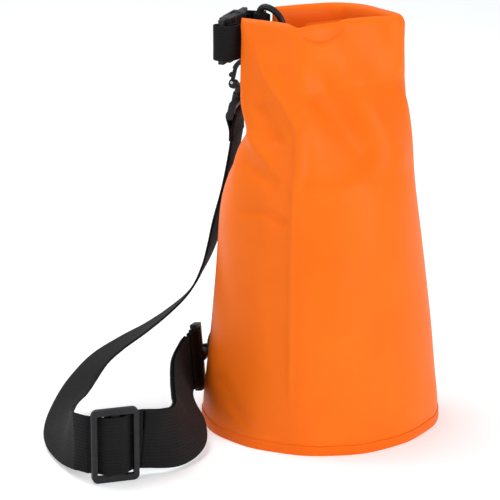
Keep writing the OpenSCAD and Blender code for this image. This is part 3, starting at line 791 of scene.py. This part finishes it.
# ---------- closure: webbing, buckle, ring ----------
BUCKLE_AT = np.array([-65, 46, BAG_H - 21])
BUCKLE_TURN = math.radians(-111)
CLOSURE_W = 30
WEB_FRONT = [
    [41.5, 24.5], [40.5, 18], [45, 13.6], [54, 11], [60.5, 4.5], [60, -3.5], [55, -6.5],
    [51.5, -3.5], [51, 2], [48, 7], [43.5, 9.3]
]
WEB_BACK = [
    [1.5, 22.5], [-3, 17], [-6, 10], [-6, 3], [-4, -2], [1, -6.5], [6, -4.5], [7.2, 1], [6.5, 6.2]
]


def on_buckle(p, z=0.0):
    c, s = math.cos(BUCKLE_TURN), math.sin(BUCKLE_TURN)
    return BUCKLE_AT + np.array([p[0] * c - p[1] * s, p[0] * s + p[1] * c, z])


def upright_ribbon(name, line, width, node_name, body="bag"):
    piece = ribbon(name, line, np.tile(UP, (len(line), 1)), width, WEB_T, CLOSURE, body)
    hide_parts(node_name)
    return piece


front_line, back_line = (open_curve([on_buckle(p) for p in path], 8)
                         for path in (WEB_FRONT, WEB_BACK))
web_front = upright_ribbon("closure_band_front", front_line, CLOSURE_W, "closure_webbing_front",
                           None)
upright_ribbon("closure_band_back", back_line, CLOSURE_W, "closure_webbing_back")
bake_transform(web_front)
for name, edge, body in (("buckle_socket", 1.1, "bag"), ("buckle_plug", 1.0, "plug"),
                         ("buckle_arm_upper", 1.0, "upper_arm"),
                         ("buckle_arm_lower", 1.0, "lower_arm")):
    moulded(name, edge, body)

RING_AT = np.array([-53, 28.5, BAG_H - 16])
RING_BAR_R, RING_TAB_TAIL = 2.75, 10
ring_tab_turn = turn_z(math.radians(155))
ring_tab_line = [RING_AT + ring_tab_turn @ np.array([p[0], p[1], 0])
                 for p in open_curve(fold_path(RING_BAR_R, RING_TAB_TAIL), 6)]
upright_ribbon("closure_ring_band", ring_tab_line, 26, "closure_ring_tab")

# ---------- slider ----------
moulded("slider", 1.2, "slider")
BAR_FOLD = [[-8, 4.3], [-4, 4.25], [0, 4.2], [4, 4.25], [8, 4.3]]
loop_line = [on_slider(p) for p in open_curve(BAR_FOLD, 4)]
slider_fold = ribbon("slider_fold", loop_line, np.tile(UP, (len(loop_line), 1)),
                     STRAP_W, WEB_T, STRAP, "slider")
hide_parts("slider_loop")

# ---------- patches ----------
PATCH_CELLS = 24
PATCH_LAYERS = ((0.05, 0.0), (0.7, 0.0), (1.0, 0.05))         # height, how far drawn in


def patch_piece(name, corner_points, node_name):
    """A welded patch with rounded corners: corner_points(u, v) gives a point and its normal."""
    verts, faces = [], []
    n = PATCH_CELLS
    for layer, inset_by in PATCH_LAYERS:
        for j in range(n + 1):
            for i in range(n + 1):
                u, v = i / n * 2 - 1, j / n * 2 - 1
                k = max(abs(u), abs(v), 1e-6)
                r = (abs(u) ** 6 + abs(v) ** 6) ** (1 / 6)
                s = k / max(r, 1e-6) * (1 - inset_by)
                p, normal = corner_points(u * s, v * s)
                verts.append(p + normal * layer)
    size = (n + 1) ** 2
    for j in range(n):
        for i in range(n):
            b = j * (n + 1) + i
            a = 2 * size + b
            faces.append((a, a + 1, a + n + 2, a + n + 1))
            faces.append((b, b + n + 1, b + n + 2, b + 1))
    border = ([i for i in range(n)] + [n + j * (n + 1) for j in range(n)]
              + [n * (n + 1) + n - i for i in range(n)] + [(n - j) * (n + 1) for j in range(n)])
    for low in (0, size):
        for k in range(len(border)):
            a, b = low + border[k], low + border[(k + 1) % len(border)]
            faces.append((a, b, b + size, a + size))
    piece = new_object(name, verts, faces, PATCH)
    outward(piece)
    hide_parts(node_name)
    return piece


def upper_patch_point(u, v):
    c, s = math.cos(UPPER_HEADING), math.sin(UPPER_HEADING)
    local = np.array([u * 11 * c, u * 11 * s, v * 10])
    return np.array([-50.5, 38, 304]) + local, np.array([s, -c, 0]) * -1


def lower_patch_point(u, v):
    a = math.radians(126 + u * 14)
    out = np.array([math.cos(a), math.sin(a), 0])
    return out * (101.7 - v * 19 * 0.016) + UP * (39 + v * 19), out


patch_piece("upper_ring_patch", upper_patch_point, "upper_patch")
patch_piece("lower_ring_patch", lower_patch_point, "lower_patch")

# ---------- materials on the CAD parts that stay ----------
for name, mat in (("closure_ring", RING), ("upper_ring", RING), ("lower_ring", RING),
                  ("upper_hook_pin", STEEL), ("lower_hook_pin", STEEL), ("upper_gate_pin", STEEL),
                  ("lower_gate_pin", STEEL), ("mouth_stiffener", STIFF)):
    part = cad_part(name)
    part.data.materials.clear()
    part.data.materials.append(mat)
    for polygon in part.data.polygons:
        polygon.material_index = 0

# ---------- floor and light ----------
floor_mat, floor_tree, floor_shader = material("studio_floor")
floor_tree.links.new(ramp(floor_tree, object_noise(floor_tree, 3, 2, 0.5),
                          [(0.3, (0.75, 0.78, 0.80)), (0.7, (0.77, 0.80, 0.82))]),
                     floor_shader.inputs["Base Color"])
floor_shader.inputs["Roughness"].default_value = 0.85
floor_shader.inputs["Specular IOR Level"].default_value = 0.1
floor_shader.inputs["Emission Color"].default_value = (1, 1, 1, 1)
floor_shader.inputs["Emission Strength"].default_value = 0.33
REACH = 9000                    # half the floor's width
floor = new_object("studio_floor",
                   [(-REACH, -REACH, 0), (REACH, -REACH, 0), (REACH, REACH, 0), (-REACH, REACH, 0)],
                   [(0, 1, 2, 3)], floor_mat, body=None, smooth=False)


def area_light(name, location, target, size, power):
    data = bpy.data.lights.new(name, "AREA")
    data.shape = "RECTANGLE"
    data.size, data.size_y = size
    data.energy = power
    light = bpy.data.objects.new(name, data)
    light.location = location
    light.rotation_euler = (Vector(target) - Vector(location)).to_track_quat("-Z", "Y").to_euler()
    scene.collection.objects.link(light)


area_light("key_light", (-0.7, 0.5, 2.0), (0, 0, 0.15), (1.3, 1.3), 27)
area_light("front_fill", (1.9, -1.7, 1.0), (0, 0, 0.17), (1.1, 1.1), 34)
area_light("left_fill", (-1.8, -1.7, 0.8), (-0.1, 0, 0.12), (1.2, 1.2), 12)

world = bpy.data.worlds.new("studio")
world.use_nodes = True
world.node_tree.nodes["Background"].inputs["Color"].default_value = (1, 1, 1, 1)
world.node_tree.nodes["Background"].inputs["Strength"].default_value = 0.5
scene.world = world

# ---------- final update ---
bpy.context.view_layer.update()
